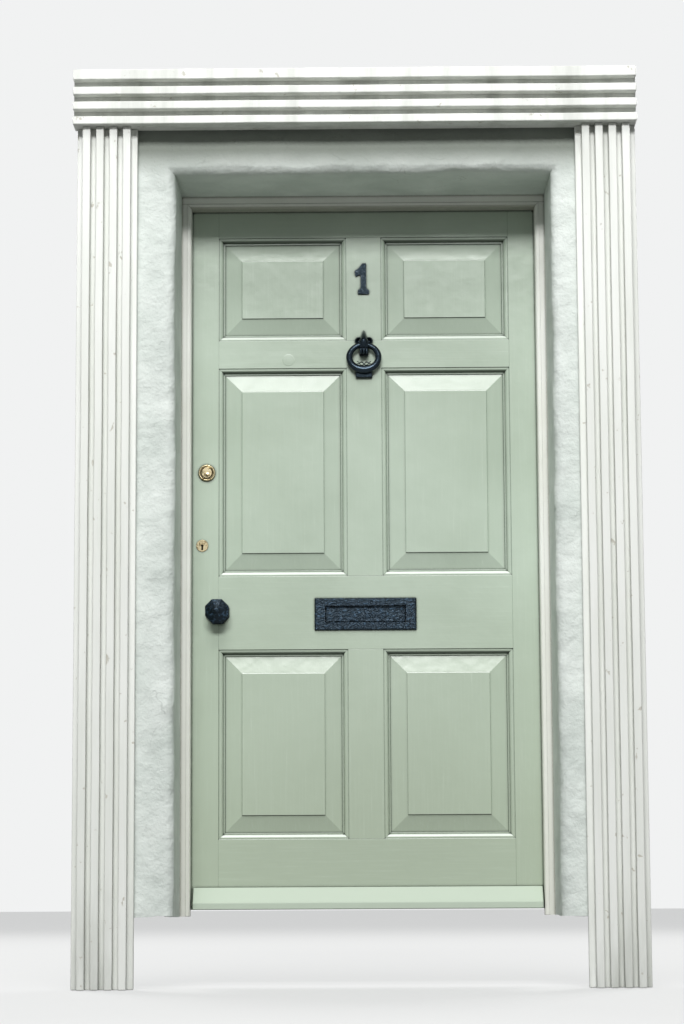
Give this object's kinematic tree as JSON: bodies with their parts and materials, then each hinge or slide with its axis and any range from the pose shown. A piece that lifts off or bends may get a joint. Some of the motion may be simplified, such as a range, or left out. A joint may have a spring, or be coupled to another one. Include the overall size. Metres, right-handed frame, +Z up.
{
  "type": "six-panel front door",
  "caption": "Panelled timber front door hung inwards in a rebated frame, with a rendered reveal, a reeded surround, a ring knocker, a letter plate, a pull knob and locks.",
  "frame": {"origin": "middle of the doorway, level with the jamb feet, in the plane of the rendered wall face", "axes": "+Z up, +X towards the hinge side, +Y into the house"},
  "size_m": [1.474, 0.459, 2.38],
  "materials": {
    "leaf_paint": "sage green eggshell paint, brushed",
    "frame_paint": "off-white gloss paint",
    "surround_paint": "white paint, weathered",
    "painted_render": "white masonry paint on uneven render",
    "black_iron": "hammered, painted black",
    "brass": "aged brass",
    "steel": "satin steel",
    "case_enamel": "bronze enamel"
  },
  "bodies": {
    "frame": {"lock_jamb": "frame_paint", "hinge_jamb": "frame_paint", "frame_head": "frame_paint", "stop_lock_side": "frame_paint", "stop_hinge_side": "frame_paint", "stop_head": "frame_paint", "render_lock_side": "painted_render", "render_hinge_side": "painted_render", "render_head": "painted_render", "pilaster_board_lock_side": "surround_paint", "pilaster_board_hinge_side": "surround_paint", "pilaster_reeds_lock_side": "surround_paint", "pilaster_reeds_hinge_side": "surround_paint", "surround_head_board": "surround_paint", "surround_head_reeds": "surround_paint", "hinge_plates_frame": "steel", "deadbolt_strike": "brass", "latch_keep": "brass"},
    "leaf": {"lock_stile": "leaf_paint", "hinge_stile": "leaf_paint", "bottom_rail": "leaf_paint", "lock_rail": "leaf_paint", "frieze_rail": "leaf_paint", "top_rail": "leaf_paint", "muntin_lower": "leaf_paint", "muntin_middle": "leaf_paint", "muntin_top": "leaf_paint", "panel_lower_lock_side": "leaf_paint", "panel_lower_hinge_side": "leaf_paint", "panel_middle_lock_side": "leaf_paint", "panel_middle_hinge_side": "leaf_paint", "panel_top_lock_side": "leaf_paint", "panel_top_hinge_side": "leaf_paint", "weatherboard": "leaf_paint", "hinge_plates_leaf": "steel", "letter_plate": "black_iron", "knocker_hanger": "black_iron", "knocker_strike": "black_iron", "house_number": "black_iron", "pull_knob": "black_iron", "cylinder_ring": "brass", "cylinder_body": "brass", "nightlatch_case": "case_enamel", "deadlock_case": "steel", "escutcheon_outside": "brass", "escutcheon_inside": "brass"},
    "letter_flap": {"letter_flap": "black_iron"},
    "knocker_ring": {"knocker_ring": "black_iron"},
    "cylinder_plug": {"cylinder_plug": "brass", "tail_bar": "steel"},
    "nightlatch_knob": {"nightlatch_knob": "brass"},
    "latch_bolt": {"latch_bolt": "brass"},
    "latch_snib": {"latch_snib": "brass"},
    "deadbolt": {"deadbolt": "brass"}
  },
  "joints": [
    {"name": "leaf_hinges", "type": "hinge", "parent": "frame", "child": "leaf", "pos_m": [0.4765, 0.3465, 0.9655], "axis": [0, 0, -1], "range_deg": [0, 110]},
    {"name": "letter_flap_hinge", "type": "hinge", "parent": "leaf", "child": "letter_flap", "pos_m": [0, 0.2935, 0.818], "axis": [1, 0, 0], "range_deg": [0, 80]},
    {"name": "knocker_swing", "type": "hinge", "parent": "leaf", "child": "knocker_ring", "pos_m": [0, 0.277, 1.53], "axis": [-1, 0, 0], "range_deg": [0, 90]},
    {"name": "cylinder_turn", "type": "hinge", "parent": "leaf", "child": "cylinder_plug", "pos_m": [-0.426, 0.296, 1.178], "axis": [0, 1, 0], "range_deg": [-90, 90]},
    {"name": "nightlatch_turn", "type": "hinge", "parent": "leaf", "child": "nightlatch_knob", "pos_m": [-0.426, 0.34, 1.184], "axis": [0, 1, 0], "range_deg": [0, 60]},
    {"name": "latch_bolt_slide", "type": "slide", "parent": "leaf", "child": "latch_bolt", "axis": [-1, 0, 0], "range_m": [0, 0.014]},
    {"name": "snib_slide", "type": "slide", "parent": "leaf", "child": "latch_snib", "axis": [1, 0, 0], "range_m": [0, 0.006]},
    {"name": "deadbolt_slide", "type": "slide", "parent": "leaf", "child": "deadbolt", "axis": [-1, 0, 0], "range_m": [0, 0.014]}
  ],
  "couplings": [
    {"joint": "latch_bolt_slide", "follows": "nightlatch_turn", "m_per_rad": 0.013369}
  ]
}
